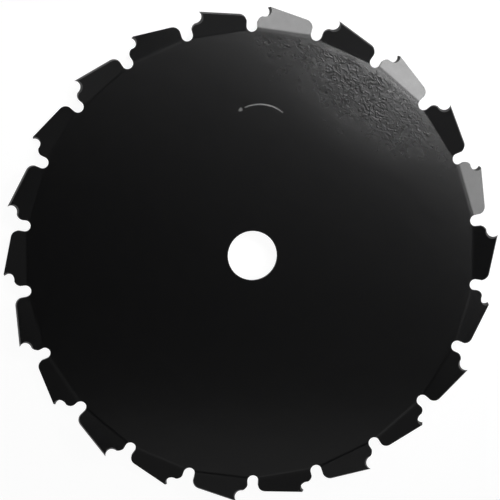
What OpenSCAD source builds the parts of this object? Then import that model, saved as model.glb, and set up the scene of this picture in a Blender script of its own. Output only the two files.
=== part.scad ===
// Clearing-saw blade for a brush cutter, stamped and bent from one flat steel sheet.
// The bore centre is the origin, at the middle of the sheet, and +Z is the front face.
// A gullet lies on +X. Seen from the front, the blade cuts turning counter-clockwise.

/* [Blade] */
// Diameter of the circle on which the cutting tips run
blade_d = 200; // [160:1:260]
// Thickness of the steel sheet
sheet_t = 1.8; // [1.2:0.1:2.4]
// Diameter of the arbor hole
bore_d = 20; // [16:0.1:30]
// Number of teeth, even so that the set alternates all the way round
tooth_count = 22; // [16:2:26]

/* [Gullets] */
// Width of the slot between two teeth, with a full round end
gullet_w = 4.6; // [3.6:0.1:5.4]
// Depth of the centre of that round end below the tip circle
gullet_depth = 8; // [7.4:0.1:8.6]

/* [Set of the teeth] */
// Angle by which each tooth is bent out of the sheet, in turn to the front and to the back
set_angle = 20; // [12:0.5:24]
// Radius of the bend at the middle of the sheet
bend_r = 5; // [3:0.1:6]
// Depth below the tip circle at which the bend starts
bend_depth = 10.6; // [10.2:0.1:11]

/* [Tooth outline] */
// Angle by which the land falls away behind the cutting tip
relief_angle = 12; // [8:0.5:15]
// Radius of the rounded heel at the back end of the land
heel_r = 3.2; // [1.6:0.1:3.6]
// Radius of the shoulder in front of the file notch
shoulder_r = 2.8; // [2.2:0.1:3]
// Depth of the top of the shoulder below the tip circle
shoulder_depth = 4.65; // [4.5:0.05:4.75]
// Distance by which the cutting tip stands behind the leading wall of the tooth
tip_back = 4.05; // [3.9:0.05:4.4]

/* [File notch] */
// Diameter of the round file that forms and sharpens the cutting face
file_d = 5.5; // [5.4:0.1:5.8]
// Angle of the file from square across the tooth, so that the corner on the back leads
file_angle = 20; // [10:1:25]
// Depth of the centre of the file below the cutting tip
file_drop = 1.85; // [1.8:0.05:2]

/* [Stamped arrow] */
// Radius of the arc of the arrow
mark_r = 15; // [10:1:18]
// Distance from the blade's axis to the middle of that arc
mark_place = 46; // [36:1:48]
// Angle from the slot on +X to the arrow, measured the way the blade cuts
mark_turn = 78; // [0:1:359]
// Angle that the arc spans to each side
mark_half = 35; // [20:1:50]
// Width of the stamped line at the surface
mark_w = 0.8; // [0.5:0.1:1]
// Depth of the stamped line
mark_depth = 0.2; // [0.1:0.05:0.3]
// Length of the arrowhead
head_length = 3.6; // [2.4:0.2:4]
// Width of the arrowhead
head_w = 2.8; // [2.4:0.1:4]

/* [Hidden] */
$fn = 96;
steel_colour = [0.10, 0.10, 0.11];
// Length by which every cutter runs clear of what it cuts
clear = 2;
// Depth by which the corner arcs run into the slot, so that its walls cut them cleanly
run_in = 0.08;

blade_r = blade_d / 2;
pitch = 360 / tooth_count;
half_pitch = pitch / 2;
gullet_x = blade_r - gullet_depth;

// The bend starts on a chord, and the tooth beyond it is a flat plate, tilted by the set
chord_x = blade_r - bend_depth;
plate_x = chord_x + bend_r * sin(set_angle);
plate_z = bend_r * (1 - cos(set_angle));
// Half the length of the bent strip, which ends inside the slots
strip_half = chord_x * tan(half_pitch) - gullet_w / 10;
// Width of the flat root by which each tooth overlaps the disc, which stops short of the chord
root_w = 4;
disc_gap = gullet_w / 20;
// Length and thickness of the cores that tie each bend to the flat sheet on its two sides
core_l = 0.8;
core_t = sheet_t / 3;

// On the plate, s is the height above its foot and y runs forward, the way the tooth cuts.
// The walls of the slots stand at y = wall_y(s) and at the same distance behind the middle.
wall_foot = plate_x * tan(half_pitch) - gullet_w / 2 / cos(half_pitch);
wall_lean = cos(set_angle) * tan(half_pitch);
wall_slant = sqrt(1 + pow(wall_lean, 2));
function wall_y(s) = wall_foot + wall_lean * s;
// Distance from the middle to the centre of a corner arc of radius r that meets the wall
function arc_y(r, s) = wall_y(s) - (r - run_in) * wall_slant;
// Height on the plate of a point at distance x from the blade's axis
function plate_s(x) = (x - plate_x) / cos(set_angle);

// Cutting tip at the middle of the sheet, where its outer corner lies on the tip circle
shoulder_s = plate_s(blade_r - shoulder_depth) - shoulder_r;
shoulder_y = arc_y(shoulder_r, shoulder_s);
tip_y = wall_y(shoulder_s) - tip_back;
tip_s = plate_s(sqrt(pow(blade_r, 2) - pow(tip_y, 2)) - sheet_t / 2 * sin(set_angle));

// File, by its centre at the middle of the sheet
file_r = file_d / 2;
file_y = tip_y + sqrt(pow(file_r, 2) - pow(file_drop, 2)) / cos(file_angle);
file_s = tip_s - file_drop;

// The land falls from the tip to the heel, whose arc touches the land and the wall
function land_s(y) = tip_s - (tip_y - y) * tan(relief_angle);
heel_land = land_s(0) - heel_r / cos(relief_angle);
heel_s = (heel_land - arc_y(heel_r, 0) * tan(relief_angle)) / (1 + wall_lean * tan(relief_angle));
heel_y = -arc_y(heel_r, heel_s);

// Body with the outline of one tooth, from its root to the land, square to the plate
module tooth_body() {
    root_s = plate_s(chord_x - root_w);
    body_h = 2 * (sheet_t + bend_r);
    linear_extrude(height = body_h, center = true)
        polygon([
            [root_s, -strip_half],
            [root_s, strip_half],
            [0, strip_half],
            [shoulder_s, shoulder_y + shoulder_r - run_in / 2],
            [shoulder_s + shoulder_r - run_in / 2, shoulder_y],
            [land_s(shoulder_y), shoulder_y],
            [heel_s + heel_r * cos(relief_angle), heel_y - heel_r * sin(relief_angle)],
            [heel_s, heel_y - heel_r + run_in / 2],
            [0, -strip_half]
        ]);
    translate([shoulder_s, shoulder_y, 0])
        cylinder(r = shoulder_r, h = body_h, center = true);
    translate([heel_s, heel_y, 0])
        cylinder(r = heel_r, h = body_h, center = true);
}

// Round file, passing through the tooth at an angle that leads on the face turned away
module file_cut(angle) {
    file_length = 2 * (sheet_t + clear) / cos(file_angle);
    translate([file_s, file_y, 0])
        rotate([angle, 0, 0])
            cylinder(d = file_d, h = file_length, center = true);
}

// Strip of sheet bent through the set angle, wider than the tooth that is cut from it
module bent_strip() {
    strip_w = 2 * (strip_half + clear);
    translate([chord_x - root_w, -strip_w / 2, -sheet_t / 2])
        cube([root_w, strip_w, sheet_t]);
    translate([chord_x, 0, bend_r])
        rotate([90, 90, 0])
            rotate_extrude(angle = set_angle)
                translate([bend_r - sheet_t / 2, -strip_w / 2])
                    square([sheet_t, strip_w]);
    translate([plate_x, 0, plate_z])
        rotate([0, -set_angle, 0])
            translate([0, -strip_w / 2, -sheet_t / 2])
                cube([bend_depth + clear, strip_w, sheet_t]);
    // Cores inside the sheet tie the bend to the root and to the flat plate
    translate([chord_x, 0, 0])
        cube([core_l, 2 * strip_half, core_t], center = true);
    translate([plate_x, 0, plate_z])
        rotate([0, -set_angle, 0])
            cube([core_l, 2 * strip_half, core_t], center = true);
}

// One tooth on +X, set to the front, cutting towards +Y and filed at the given angle
module tooth(angle) {
    intersection() {
        bent_strip();
        translate([plate_x, 0, plate_z])
            rotate([0, -set_angle, 0])
                difference() {
                    tooth_body();
                    file_cut(angle);
                }
    }
}

// Slot between two teeth, on +X
module gullet() {
    cut_h = 2 * (sheet_t + gullet_depth);
    translate([gullet_x, 0, 0])
        cylinder(d = gullet_w, h = cut_h, center = true);
    translate([gullet_x, -gullet_w / 2, -cut_h / 2])
        cube([gullet_depth + clear, gullet_w, cut_h]);
}

// Disc inside the bends, with one flat side for each tooth
module disc() {
    corner_r = (chord_x - disc_gap) / cos(half_pitch);
    linear_extrude(height = sheet_t, center = true)
        polygon([for (k = [0 : tooth_count - 1]) corner_r * [cos(k * pitch), sin(k * pitch)]]);
}

// Profile of the stamped line, a vee that starts clear above the front face
module stamp_profile() {
    face_z = sheet_t / 2;
    polygon([
        [-mark_w, face_z + mark_depth],
        [0, face_z - mark_depth],
        [mark_w, face_z + mark_depth]
    ]);
}

// Arrowhead with a flat floor, a little deeper than the line that runs into it
module arrowhead() {
    head_depth = 1.25 * mark_depth;
    translate([mark_r * cos(mark_half), mark_r * sin(mark_half), sheet_t / 2 - head_depth])
        rotate([0, 0, mark_half + 90])
            linear_extrude(height = head_depth + clear)
                polygon([
                    [-head_length / 2, -head_w / 2],
                    [head_length / 2, 0],
                    [-head_length / 2, head_w / 2]
                ]);
}

// Arrow on the front face that shows which way the blade turns
module arrow() {
    rotate([0, 0, mark_turn])
        translate([mark_place, 0, 0]) {
            rotate([0, 0, -mark_half])
                rotate_extrude(angle = 2 * mark_half)
                    translate([mark_r, 0])
                        stamp_profile();
            arrowhead();
        }
}

module blade() {
    color(steel_colour)
        difference() {
            union() {
                disc();
                for (k = [0 : 2 : tooth_count - 1])
                    rotate([0, 0, (k - 0.5) * pitch])
                        tooth(file_angle);
                for (k = [1 : 2 : tooth_count - 1])
                    rotate([0, 0, (k - 0.5) * pitch])
                        mirror([0, 0, 1])
                            tooth(-file_angle);
            }
            for (k = [0 : tooth_count - 1])
                rotate([0, 0, k * pitch])
                    gullet();
            cylinder(d = bore_d, h = sheet_t + clear, center = true);
            arrow();
        }
}

blade();
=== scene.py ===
import math

import bpy
from mathutils import Matrix, Vector


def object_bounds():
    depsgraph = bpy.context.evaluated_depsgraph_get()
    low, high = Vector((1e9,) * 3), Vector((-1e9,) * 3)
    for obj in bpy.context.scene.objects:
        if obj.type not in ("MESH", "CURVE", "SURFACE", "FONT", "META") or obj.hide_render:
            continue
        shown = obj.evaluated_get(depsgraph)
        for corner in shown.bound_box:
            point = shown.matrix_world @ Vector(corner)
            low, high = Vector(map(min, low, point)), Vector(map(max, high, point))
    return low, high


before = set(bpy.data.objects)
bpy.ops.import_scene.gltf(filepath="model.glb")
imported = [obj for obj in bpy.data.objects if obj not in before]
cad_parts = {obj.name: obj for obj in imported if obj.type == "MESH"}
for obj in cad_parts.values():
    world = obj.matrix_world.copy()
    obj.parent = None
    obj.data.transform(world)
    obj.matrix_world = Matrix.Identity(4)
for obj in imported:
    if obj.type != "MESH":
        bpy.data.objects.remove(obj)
cad_low, cad_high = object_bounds()

MM = 0.001
CAMERA_PLACE = Vector((-0.09109, 0.12280, 0.98825))
# The picture's axes lie turned by this angle about +Z
PICTURE_TURN = math.radians(-8.6)


def from_picture(x, y, z=0.0):
    """Point given to the picture's right, up and towards the viewer, in the part's frame."""
    return Matrix.Rotation(PICTURE_TURN, 3, "Z") @ Vector((x, y, z))


# Node helpers
def new_material(name):
    mat = bpy.data.materials.new(name)
    mat.use_nodes = True
    tree = mat.node_tree
    tree.nodes.clear()
    return mat, tree


class Graph:
    """Short ways to add and link shader nodes."""

    def __init__(self, tree):
        self.tree = tree

    def add(self, kind, **values):
        node = self.tree.nodes.new(kind)
        for key, value in values.items():
            setattr(node, key, value)
        return node

    def put(self, socket, value):
        if isinstance(value, bpy.types.NodeSocket):
            self.tree.links.new(value, socket)
        else:
            socket.default_value = value

    def math(self, operation, a, b=0.0):
        node = self.add("ShaderNodeMath", operation=operation)
        self.put(node.inputs[0], a)
        self.put(node.inputs[1], b)
        return node.outputs[0]

    def plus(self, a, b):
        return self.math("ADD", a, b)

    def minus(self, a, b):
        return self.math("SUBTRACT", a, b)

    def times(self, a, b):
        return self.math("MULTIPLY", a, b)

    def noise(self, vector, scale, detail=2.0, rough=0.5, distort=0.0):
        node = self.add("ShaderNodeTexNoise")
        self.put(node.inputs["Vector"], vector)
        self.put(node.inputs["Scale"], scale)
        self.put(node.inputs["Detail"], detail)
        self.put(node.inputs["Roughness"], rough)
        self.put(node.inputs["Distortion"], distort)
        return node.outputs["Fac"]

    def remap(self, value, low, high, to_low, to_high, smooth=False):
        node = self.add("ShaderNodeMapRange")
        node.interpolation_type = "SMOOTHSTEP" if smooth else "LINEAR"
        self.put(node.inputs["Value"], value)
        self.put(node.inputs["From Min"], low)
        self.put(node.inputs["From Max"], high)
        self.put(node.inputs["To Min"], to_low)
        self.put(node.inputs["To Max"], to_high)
        return node.outputs["Result"]

    def fade_out(self, value, low, high):
        """1 below the first limit, and falling smoothly to 0 at the second."""
        return self.remap(value, low, high, 1.0, 0.0, smooth=True)

    def mapped(self, vector, rotation=(0, 0, 0), scale=(1, 1, 1)):
        node = self.add("ShaderNodeMapping")
        self.put(node.inputs["Vector"], vector)
        self.put(node.inputs["Rotation"], rotation)
        self.put(node.inputs["Scale"], scale)
        return node.outputs["Vector"]

    def bump(self, height, distance, normal, strength=1.0):
        node = self.add("ShaderNodeBump")
        self.put(node.inputs["Height"], height)
        self.put(node.inputs["Distance"], distance)
        self.put(node.inputs["Strength"], strength)
        self.put(node.inputs["Normal"], normal)
        return node.outputs["Normal"]

    def offset(self, vector, point):
        node = self.add("ShaderNodeVectorMath", operation="SUBTRACT")
        self.put(node.inputs[0], vector)
        self.put(node.inputs[1], point)
        return node.outputs["Vector"]

    def distance(self, vector, point):
        node = self.add("ShaderNodeVectorMath", operation="DISTANCE")
        self.put(node.inputs[0], vector)
        self.put(node.inputs[1], point)
        return node.outputs["Value"]

    def length(self, vector):
        node = self.add("ShaderNodeVectorMath", operation="LENGTH")
        self.put(node.inputs[0], vector)
        return node.outputs["Value"]

    def upward(self, vector):
        node = self.add("ShaderNodeSeparateXYZ")
        self.put(node.inputs["Vector"], vector)
        return node.outputs["Z"]


# Lacquer
LACQUER_COLOUR = (0.0075, 0.0075, 0.008, 1.0)
STEEL_COLOUR = (0.24, 0.24, 0.235, 1.0)
LACQUER_IOR = 1.6
# Roughness at the glossiest and the dullest places of a face, and what is added to it elsewhere
ROUGH_LOW = 0.24
ROUGH_HIGH = 0.27
ROUGH_ADDED_THICK = 0.03
ROUGH_ADDED_EDGE = 0.35
ROUGH_ADDED_STEEL = 0.25
# Scales of the noises, in cells a metre
PATCH_CELLS = 45.0
SWELL_CELLS = 90.0
DENSE_CELLS = 130.0
SHEEN_CELLS = 260.0
WORM_CELLS = 420.0
SPECK_CELLS = 760.0
PEEL_CELLS = 1150.0
FINE_CELLS = 1500.0
# Heights of the relief in the lacquer, and how fully its two softest kinds count
SWELL_HEIGHT = 0.14 * MM
RIPPLE_HEIGHT = 0.14 * MM
SPECK_HEIGHT = 0.15 * MM
FINE_HEIGHT = 0.010 * MM
SOFT_STRENGTH = 0.35
# Rounding that the light shows along every edge
EDGE_RADIUS = 0.15 * MM
EDGE_SAMPLES = 6
# A face whose normal rises by less than this is the wall of an edge
EDGE_STEEPNESS = 0.5

# Patch of thick lacquer, by its middle, its turn and its scales along, across and through it
PATCH_PLACE = from_picture(0.0450, 0.0715)
PATCH_TURN = math.radians(43)
PATCH_SCALE = (19.0, 47.0, 0.0)
PATCH_RAGGEDNESS = 1.1
# Scaled distances from its middle at which it is still full and at which it ends
PATCH_FULL = 0.25
PATCH_ENDS = 1.50
# Distances from the blade's axis over which it ends, where the teeth bend
BEND_START = 86.5 * MM
BEND_END = 90.0 * MM

# The worm-like ripples are drawn out along the patch, and this is their reach in the noise
WORM_STRETCH = (0.7, 1.0, 1.0)
WORM_REACH = 0.13
# Shares of the ripples and the orange peel in the relief, and the mean of their sum
WORM_SHARE = 0.7
PEEL_SHARE = 0.8
RELIEF_MEAN = 0.75
# Share of the ripples that is left outside the patch
RELIEF_OUTSIDE = 0.01
# Sizes of a speck's top and foot in its cell, and the share of the cells that stay empty
SPECK_TOP = 0.05
SPECK_FOOT = 0.38
SPECK_EMPTY = 0.60

# Height of the disc's front face
FRONT_FACE = 0.9 * MM
# Rubbed steel in the stamped line shows in full below the first height and none above the second
LINE_FULL = FRONT_FACE - 0.12 * MM
LINE_NONE = FRONT_FACE - 0.03 * MM
# Heights that part the line's floor from what lies deeper, and the arrowhead's floor from the line
LINE_FLOOR = FRONT_FACE - 0.22 * MM
HEAD_FLOOR = FRONT_FACE - 0.2 * MM
# Distances from the blade's axis between which the arrow lies
ARROW_INSIDE = 20 * MM
ARROW_OUTSIDE = 70 * MM
# Middle of the line, the distances from it over which its ends wear off, and what is left there
ARROW_PLACE = (12.68 * MM, 59.67 * MM, 0.70 * MM)
WORN_START = 5.5 * MM
WORN_END = 8.5 * MM
WORN_LEFT = 0.12
# Middle of the arrowhead's floor, and the reach and strength of the steel that shows round it
HEAD_PLACE = (3.70 * MM, 58.80 * MM, 0.65 * MM)
HEAD_START = 0.3 * MM
HEAD_END = 1.1 * MM
HEAD_STRENGTH = 0.9


def thick_patch(g, here, radius):
    """Coordinates along the patch of thick lacquer, and how thick it lies, from 0 to 1."""
    along = g.mapped(g.offset(here, PATCH_PLACE), rotation=(0, 0, PATCH_TURN))
    away = g.distance(g.mapped(along, scale=PATCH_SCALE), (0, 0, 0))
    ragged = g.times(g.minus(g.noise(here, PATCH_CELLS), 0.5), PATCH_RAGGEDNESS)
    thick = g.fade_out(g.plus(away, ragged), PATCH_FULL, PATCH_ENDS)
    on_disc = g.fade_out(radius, BEND_START, BEND_END)
    return along, g.times(thick, on_disc)


def ripples(g, here, along, thick):
    """Worm-like ripples with a finer orange peel between them, which fade out with the patch."""
    # The worms follow the middle level of a noise
    level = g.noise(g.mapped(along, scale=WORM_STRETCH), WORM_CELLS, detail=1.0, distort=0.9)
    worm = g.fade_out(g.math("ABSOLUTE", g.minus(level, 0.5)), 0.0, WORM_REACH)
    peel = g.noise(here, PEEL_CELLS, detail=1.5, rough=0.6, distort=0.6)
    # Taken about its mean, so that no step stands round the ripples
    relief = g.plus(g.times(worm, WORM_SHARE), g.times(peel, PEEL_SHARE))
    relief = g.minus(relief, RELIEF_MEAN)
    # They stand out less in some places
    dense = g.remap(g.noise(here, DENSE_CELLS, detail=1.0), 0.36, 0.58, 0.35, 1.0, smooth=True)
    fade = g.remap(g.times(thick, thick), 0.0, 1.0, RELIEF_OUTSIDE, 1.0)
    return g.times(g.times(relief, dense), fade)


def specks(g, here):
    """Round specks of dust, each in a cell of its own."""
    cells = g.add("ShaderNodeTexVoronoi")
    g.put(cells.inputs["Vector"], here)
    g.put(cells.inputs["Scale"], SPECK_CELLS)
    dot = g.fade_out(cells.outputs["Distance"], SPECK_TOP, SPECK_FOOT)
    pick = g.add("ShaderNodeSeparateColor")
    g.put(pick.inputs["Color"], cells.outputs["Color"])
    return g.times(dot, g.math("GREATER_THAN", pick.outputs["Red"], SPECK_EMPTY))


def rubbed_steel(g, here, radius):
    """Where steel shows below the front face, in the stamped arrow, from 0 to 1."""
    height = g.upward(here)
    line = g.remap(height, LINE_FULL, LINE_NONE, 1.0, 0.0)
    line = g.times(line, g.math("GREATER_THAN", height, LINE_FLOOR))
    line = g.times(line, g.math("LESS_THAN", radius, ARROW_OUTSIDE))
    line = g.times(line, g.math("GREATER_THAN", radius, ARROW_INSIDE))
    # The line wears off at its ends, and the floor of the arrowhead shows steel only at its middle
    from_line = g.distance(here, ARROW_PLACE)
    worn = g.remap(from_line, WORN_START, WORN_END, 1.0, WORN_LEFT, smooth=True)
    line = g.times(line, worn)
    from_head = g.distance(here, HEAD_PLACE)
    head = g.remap(from_head, HEAD_START, HEAD_END, HEAD_STRENGTH, 0.0, smooth=True)
    head = g.times(head, g.math("LESS_THAN", height, HEAD_FLOOR))
    return g.math("MAXIMUM", line, head)


def make_lacquer():
    mat, tree = new_material("black_lacquer")
    g = Graph(tree)
    here = g.add("ShaderNodeTexCoord").outputs["Object"]
    radius = g.length(here)
    along, thick = thick_patch(g, here, radius)
    steel = rubbed_steel(g, here, radius)

    edge = g.add("ShaderNodeBevel", samples=EDGE_SAMPLES)
    g.put(edge.inputs["Radius"], EDGE_RADIUS)
    swell = g.noise(here, SWELL_CELLS)
    fine = g.noise(here, FINE_CELLS)
    normal = g.bump(swell, SWELL_HEIGHT, edge.outputs["Normal"], SOFT_STRENGTH)
    normal = g.bump(ripples(g, here, along, thick), RIPPLE_HEIGHT, normal)
    normal = g.bump(g.times(specks(g, here), thick), SPECK_HEIGHT, normal)
    normal = g.bump(fine, FINE_HEIGHT, normal, SOFT_STRENGTH)

    sheen = g.noise(here, SHEEN_CELLS, detail=3.0, rough=0.6)
    rough = g.remap(sheen, 0.3, 0.7, ROUGH_LOW, ROUGH_HIGH)
    rough = g.plus(rough, g.times(thick, ROUGH_ADDED_THICK))
    # Punched and filed edges are duller than the faces
    facing = g.upward(g.add("ShaderNodeNewGeometry").outputs["True Normal"])
    cut = g.math("LESS_THAN", g.math("ABSOLUTE", facing), EDGE_STEEPNESS)
    rough = g.plus(rough, g.times(cut, ROUGH_ADDED_EDGE))
    rough = g.plus(rough, g.times(steel, ROUGH_ADDED_STEEL))

    colour = g.add("ShaderNodeMix", data_type="RGBA")
    g.put(colour.inputs["Factor"], steel)
    g.put(colour.inputs["A"], LACQUER_COLOUR)
    g.put(colour.inputs["B"], STEEL_COLOUR)
    shader = g.add("ShaderNodeBsdfPrincipled")
    g.put(shader.inputs["Base Color"], colour.outputs["Result"])
    g.put(shader.inputs["Roughness"], rough)
    g.put(shader.inputs["IOR"], LACQUER_IOR)
    g.put(shader.inputs["Normal"], normal)
    out = g.add("ShaderNodeOutputMaterial")
    g.put(out.inputs["Surface"], shader.outputs["BSDF"])
    return mat


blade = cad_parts["blade"]
blade.data.materials.clear()
blade.data.materials.append(make_lacquer())


# Floor and surroundings
FLOOR_HALF = 15.0
FLOOR_COLOUR = (0.20, 0.20, 0.20, 1.0)
FLOOR_GLOW = 0.94
STUDIO_COLOUR = (1.0, 1.0, 1.0, 1.0)
# Brightness of the studio's walls and ceiling
WALLS = 0.80
CEILING = 0.012
# Sines of the elevations between which the walls turn into the ceiling
WALLS_END = 0.10
CEILING_STARTS = 0.45


def make_floor():
    """A pale floor, on which the blade's shadow falls and which looks white in every view."""
    mat, tree = new_material("floor_white")
    g = Graph(tree)
    diffuse = g.add("ShaderNodeBsdfDiffuse")
    g.put(diffuse.inputs["Color"], FLOOR_COLOUR)
    seen = g.add("ShaderNodeLightPath")
    direct = g.math("MAXIMUM", seen.outputs["Is Camera Ray"], seen.outputs["Is Glossy Ray"])
    glow = g.add("ShaderNodeEmission")
    g.put(glow.inputs["Strength"], g.times(direct, FLOOR_GLOW))
    both = g.add("ShaderNodeAddShader")
    g.put(both.inputs[0], diffuse.outputs["BSDF"])
    g.put(both.inputs[1], glow.outputs["Emission"])
    out = g.add("ShaderNodeOutputMaterial")
    g.put(out.inputs["Surface"], both.outputs["Shader"])
    mesh = bpy.data.meshes.new("floor")
    signs = [(-1, -1), (1, -1), (1, 1), (-1, 1)]
    corners = [(x * FLOOR_HALF, y * FLOOR_HALF, cad_low.z) for x, y in signs]
    mesh.from_pydata(corners, [], [(0, 1, 2, 3)])
    floor = bpy.data.objects.new("floor", mesh)
    bpy.context.scene.collection.objects.link(floor)
    mesh.materials.append(mat)


def make_world():
    """A studio with pale walls and a dark ceiling."""
    world = bpy.data.worlds.new("studio")
    bpy.context.scene.world = world
    world.use_nodes = True
    world.node_tree.nodes.clear()
    g = Graph(world.node_tree)
    rise = g.upward(g.add("ShaderNodeTexCoord").outputs["Generated"])
    level = g.remap(rise, WALLS_END, CEILING_STARTS, WALLS, CEILING, smooth=True)
    # The camera sees it as white as the floor
    seen = g.add("ShaderNodeLightPath").outputs["Is Camera Ray"]
    level = g.math("MAXIMUM", level, seen)
    back = g.add("ShaderNodeBackground")
    g.put(back.inputs["Color"], STUDIO_COLOUR)
    g.put(back.inputs["Strength"], level)
    out = g.add("ShaderNodeOutputWorld")
    g.put(out.inputs["Surface"], back.outputs["Background"])


# Lamps, with lengths in metres and angles in degrees
SPOT_SIZE = 0.03
# Soft boxes are aimed at a point this many times as far out as the place that mirrors them
BEYOND = 1.5


def hang(name, lamp, place, turn):
    """Put a lamp in its place, hidden from the camera."""
    lamp_object = bpy.data.objects.new(name, lamp)
    bpy.context.scene.collection.objects.link(lamp_object)
    lamp_object.matrix_world = Matrix.Translation(place) @ turn.to_4x4()
    lamp_object.visible_camera = False


def panel(name, place, turn, width, height, radiance, grid):
    """A soft box, given by its brightness seen along its axis. A grid keeps its light in a cone."""
    lamp = bpy.data.lights.new(name, "AREA")
    lamp.shape = "RECTANGLE"
    lamp.size = width
    lamp.size_y = height
    lamp.energy = radiance * math.pi * width * height
    if grid:
        half = math.radians(grid)
        lamp.spread = 2 * half
        lamp.energy *= 1 - half / math.tan(half)
    hang(name, lamp, place, turn)


def spot(name, place, aim, cone, energy):
    """A lamp aimed at a place, whose light fades out towards the side of its cone."""
    lamp = bpy.data.lights.new(name, "SPOT")
    lamp.spot_size = math.radians(cone)
    lamp.spot_blend = 1.0
    lamp.shadow_soft_size = SPOT_SIZE
    lamp.energy = energy
    hang(name, lamp, place, (aim - place).to_track_quat("-Z", "Y").to_matrix())


def mirrored(place, tilt):
    """The way in which the sheet at a place, tilted outward by an angle, mirrors the camera."""
    outward = Vector((place.x, place.y, 0.0)).normalized()
    upward = Vector((0.0, 0.0, 1.0))
    normal = outward * math.sin(math.radians(tilt)) + upward * math.cos(math.radians(tilt))
    return (place - CAMERA_PLACE).normalized().reflect(normal)


def soft_box(name, place, tilts, distance, width, radiance, grid=None):
    """A soft box that the sheet at a place mirrors while it bends from the first tilt to the last."""
    near, far = [place + mirrored(place, tilt) * distance for tilt in tilts]
    middle = (near + far) / 2
    rise = (far - near).normalized()
    back = (middle - place * BEYOND).normalized()
    side = rise.cross(back).normalized()
    turn = Matrix((side, back.cross(side), back)).transposed()
    panel(name, middle, turn, width, (far - near).length, radiance, grid)


def overhead(name, place, aim, width, height, radiance, along=0.0, grid=None):
    """A soft box aimed at a place, whose width lies along an angle in the picture."""
    back = (place - aim).normalized()
    across = from_picture(math.cos(math.radians(along)), math.sin(math.radians(along)))
    rise = back.cross(across).normalized()
    turn = Matrix((rise.cross(back), rise, back)).transposed()
    panel(name, place, turn, width, height, radiance, grid)


make_floor()
make_world()

# Soft boxes stand close round the upper right of the picture, where the teeth that are set to the
# back mirror them. Each has a fainter one before it, which the bend of its tooth mirrors.
TEETH = {"top": (0.0125, 0.0915), "corner": (0.0610, 0.0695), "right": (0.0880, 0.0280)}
TOOTH_RADIANCE = {"top": 11.5, "corner": 15.0, "right": 7.6}
TOOTH_TILTS = (14.0, 31.0)
BEND_RADIANCE = {"top": 1.6, "corner": 1.2, "right": 2.0}
BEND_TILTS = (3.0, 13.0)
TOOTH_GRID = 17
for side, (x, y) in TEETH.items():
    tooth = from_picture(x, y)
    soft_box(
        "soft_box_" + side, tooth, TOOTH_TILTS,
        distance=0.34, width=0.20, radiance=TOOTH_RADIANCE[side], grid=TOOTH_GRID,
    )
    soft_box(
        "faint_box_" + side, tooth, BEND_TILTS,
        distance=0.37, width=0.16, radiance=BEND_RADIANCE[side], grid=TOOTH_GRID,
    )

# A strip and two spot lamps, a narrow and a wide one, give the rim there its glow. A panel low
# over the same side is mirrored only by the slopes of the ripples.
LAMP_HEIGHT = 0.50
GLOW_PLACE = from_picture(0.058, 0.094)
SPOT_PLACE = from_picture(0.148, 0.088, LAMP_HEIGHT)
overhead(
    "rim_strip", from_picture(0.140, 0.094, LAMP_HEIGHT), GLOW_PLACE,
    width=0.26, height=0.03, radiance=18.0, along=-35.0, grid=7,
)
spot("rim_spot", SPOT_PLACE, from_picture(0.064, 0.084), cone=8.0, energy=1.0)
soft_box(
    "glint_box", from_picture(0.046, 0.070), (7.0, 13.0),
    distance=0.36, width=0.20, radiance=3.4, grid=30,
)
spot("rim_spot_wide", SPOT_PLACE, GLOW_PLACE, cone=34.0, energy=0.105)

# Dim panels hang over the top and over the lower side
overhead(
    "top_panel", from_picture(0.0, 0.125, LAMP_HEIGHT), from_picture(0.0, 0.03),
    width=0.28, height=0.11, radiance=0.32,
)
overhead(
    "low_panel", from_picture(0.10, -0.25, LAMP_HEIGHT), from_picture(0.0, -0.08),
    width=0.28, height=0.08, radiance=0.25,
)

# Two near panels lay a pale band over the disc's lower side
BAND_HEIGHT = 0.12
overhead(
    "band_panel", from_picture(0.035, -0.112, BAND_HEIGHT), from_picture(0.035, -0.112),
    width=0.26, height=0.05, radiance=0.10,
)
overhead(
    "band_corner", from_picture(0.055, -0.108, BAND_HEIGHT), from_picture(0.055, -0.108),
    width=0.06, height=0.03, radiance=0.14,
)

# A dim panel stands at the left, where the teeth of that side mirror it
soft_box(
    "side_panel", from_picture(-0.0889, 0.0238), (12.0, 28.0),
    distance=0.45, width=0.36, radiance=0.12,
)

# A wide, dim reflector hangs over the lower side
overhead(
    "reflector", from_picture(0.05, -0.80, 1.10), from_picture(0.0, 0.0),
    width=1.8, height=1.05, radiance=0.125,
)


# Camera
CAMERA_AIM = Vector((-0.00060, 0.00233, 0.0))
CAMERA_UP = Vector((0.15441, 0.98235, -0.10561))
CAMERA_LENS = 178.91
CAMERA_SENSOR = 36.0
CLIP_START = 0.01
CLIP_END = 100.0


def make_camera():
    data = bpy.data.cameras.new("camera")
    data.sensor_width = CAMERA_SENSOR
    data.lens = CAMERA_LENS
    data.clip_start = CLIP_START
    data.clip_end = CLIP_END
    camera = bpy.data.objects.new("camera", data)
    bpy.context.scene.collection.objects.link(camera)
    back = (CAMERA_PLACE - CAMERA_AIM).normalized()
    right = CAMERA_UP.cross(back).normalized()
    turn = Matrix((right, back.cross(right), back)).transposed()
    camera.matrix_world = Matrix.Translation(CAMERA_PLACE) @ turn.to_4x4()
    bpy.context.scene.camera = camera


make_camera()
bpy.context.scene.view_settings.view_transform = "Standard"
